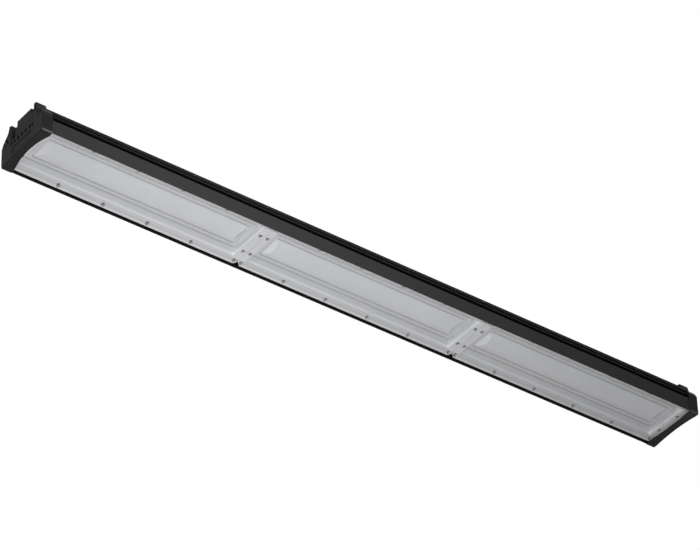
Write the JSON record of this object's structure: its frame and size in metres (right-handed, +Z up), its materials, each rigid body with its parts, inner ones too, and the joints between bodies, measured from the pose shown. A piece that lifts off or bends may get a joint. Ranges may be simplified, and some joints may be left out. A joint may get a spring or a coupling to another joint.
{
  "type": "linear led high bay light",
  "caption": "Long black linear LED high bay light: finned aluminium extrusion, frosted lens trays in a row on the underside, slotted end caps, cable gland in the right cap.",
  "frame": {"origin": "bottom centre of the whole light, gland included, on the plane of the end caps' rims", "axes": "+X along the light, from the blank left cap to the right cap with the gland; +Z up, away from the lenses; +Y across"},
  "size_m": [1.132, 0.1, 0.0593],
  "materials": {
    "housing_black": "satin black coated extrusion",
    "cap_black": "fine-textured black coated casting",
    "lens_frosted": "frosted translucent polycarbonate",
    "seal_silicone": "soft silicone",
    "board_white": "white solder mask",
    "led_phosphor": "phosphor-filled lens",
    "screw_steel": "stainless",
    "screw_black": "blackened steel",
    "bar_aluminium": "milled",
    "tray_steel": "zinc-plated sheet",
    "driver_grey": "moulded shell, potted",
    "terminal_white": "moulded",
    "grommet_rubber": "moulded",
    "gland_black": "moulded polyamide"
  },
  "bodies": {
    "root": {"cross_bar_left": "bar_aluminium", "cross_bar_right": "bar_aluminium", "cross_bar_screws": "screw_steel", "driver_case": "driver_grey", "driver_screws": "screw_steel", "driver_tray": "tray_steel", "earth_screw": "screw_steel", "gland_body": "gland_black", "gland_locknut": "gland_black", "gland_nut": "gland_black", "gland_seal": "grommet_rubber", "gland_washer": "grommet_rubber", "housing": "housing_black", "led_board_left": "board_white", "led_board_middle": "board_white", "led_board_right": "board_white", "led_board_screws": "screw_steel", "led_chips_left": "led_phosphor", "led_chips_middle": "led_phosphor", "led_chips_right": "led_phosphor", "left_cap_gasket": "grommet_rubber", "left_cap_screws": "screw_black", "left_end_cap": "cap_black", "lens_gasket_left": "seal_silicone", "lens_gasket_middle": "seal_silicone", "lens_gasket_right": "seal_silicone", "lens_left": "lens_frosted", "lens_middle": "lens_frosted", "lens_right": "lens_frosted", "lens_screws_left": "screw_steel", "lens_screws_middle": "screw_steel", "lens_screws_right": "screw_steel", "right_cap_gasket": "grommet_rubber", "right_cap_screws": "screw_black", "right_end_cap": "cap_black", "terminal_block": "terminal_white", "wire_grommets": "grommet_rubber"}
  },
  "joints": []
}
